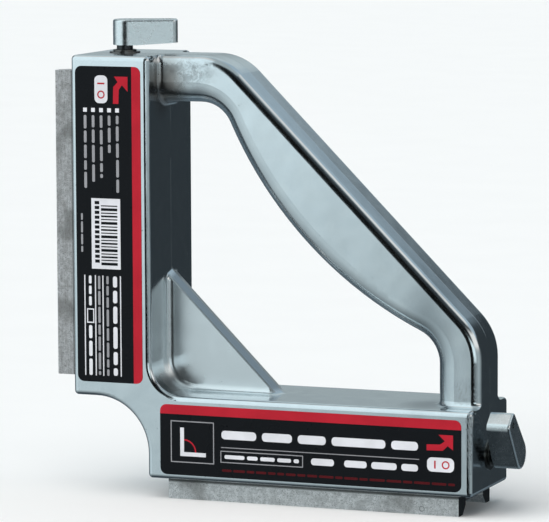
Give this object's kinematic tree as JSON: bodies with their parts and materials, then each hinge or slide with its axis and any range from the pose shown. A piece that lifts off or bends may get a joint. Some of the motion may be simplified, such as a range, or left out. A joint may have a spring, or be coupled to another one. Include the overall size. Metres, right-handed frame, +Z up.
{
  "type": "switchable welding magnet square",
  "caption": "Right-angle magnetic holder for welding: two legs with paired steel pole shoes, a lever on the end of each leg that switches its magnet, an inner gusset and a diagonal handle.",
  "frame": {"origin": "middle of the overall footprint at the level of the horizontal leg's pole faces, in the middle plane", "axes": "+X along the horizontal leg towards its lever, +Z up along the vertical leg towards its lever, +Y from the labelled front face to the back"},
  "size_m": [0.2092, 0.0496, 0.2092],
  "materials": {
    "polished_casting": "polished",
    "ground_steel": "ground",
    "spacer_alloy": "dull",
    "pin_steel": "ground",
    "bush_metal": "turned",
    "bush_bronze": "turned",
    "seal_rubber": "matt",
    "lever_plating": "satin",
    "screw_steel": "blackened",
    "rotor_alloy": "turned",
    "magnet_plating": "nickel plated",
    "label_film": "semi-gloss print"
  },
  "bodies": {
    "holder": {"body_casting": "polished_casting", "vertical_front_pole_shoe": "ground_steel", "vertical_rear_pole_shoe": "ground_steel", "vertical_outer_spacer_strip": "spacer_alloy", "vertical_inner_spacer_bar": "spacer_alloy", "vertical_pole_dowels": "pin_steel", "vertical_shaft_bush": "bush_metal", "vertical_shaft_seal": "seal_rubber", "vertical_pivot_pin": "pin_steel", "vertical_stop_pin": "pin_steel", "vertical_label": "label_film", "horizontal_front_pole_shoe": "ground_steel", "horizontal_rear_pole_shoe": "ground_steel", "horizontal_outer_spacer_strip": "spacer_alloy", "horizontal_inner_spacer_bar": "spacer_alloy", "horizontal_pole_dowels": "pin_steel", "horizontal_shaft_bush": "bush_metal", "horizontal_shaft_seal": "seal_rubber", "horizontal_pivot_pin": "pin_steel", "horizontal_stop_pin": "pin_steel", "horizontal_label": "label_film"},
    "vertical_switch": {"vertical_switch_lever": "lever_plating", "vertical_lever_set_screw": "screw_steel", "vertical_lever_shaft": "pin_steel", "vertical_rotor_drive_pin": "pin_steel", "vertical_rotor_carrier": "rotor_alloy", "vertical_rotor_magnets": "magnet_plating", "vertical_rotor_pivot_bush": "bush_bronze"},
    "horizontal_switch": {"horizontal_switch_lever": "lever_plating", "horizontal_lever_set_screw": "screw_steel", "horizontal_lever_shaft": "pin_steel", "horizontal_rotor_drive_pin": "pin_steel", "horizontal_rotor_carrier": "rotor_alloy", "horizontal_rotor_magnets": "magnet_plating", "horizontal_rotor_pivot_bush": "bush_bronze"}
  },
  "joints": [
    {"name": "vertical_switch_turn", "type": "hinge", "parent": "holder", "child": "vertical_switch", "pos_m": [-0.0802, 0, 0.1945], "axis": [0, 0, 1], "range_deg": [-67, 23]},
    {"name": "horizontal_switch_turn", "type": "hinge", "parent": "holder", "child": "horizontal_switch", "pos_m": [0.0899, 0, 0.0244], "axis": [-1, 0, 0], "range_deg": [-5, 85]}
  ]
}
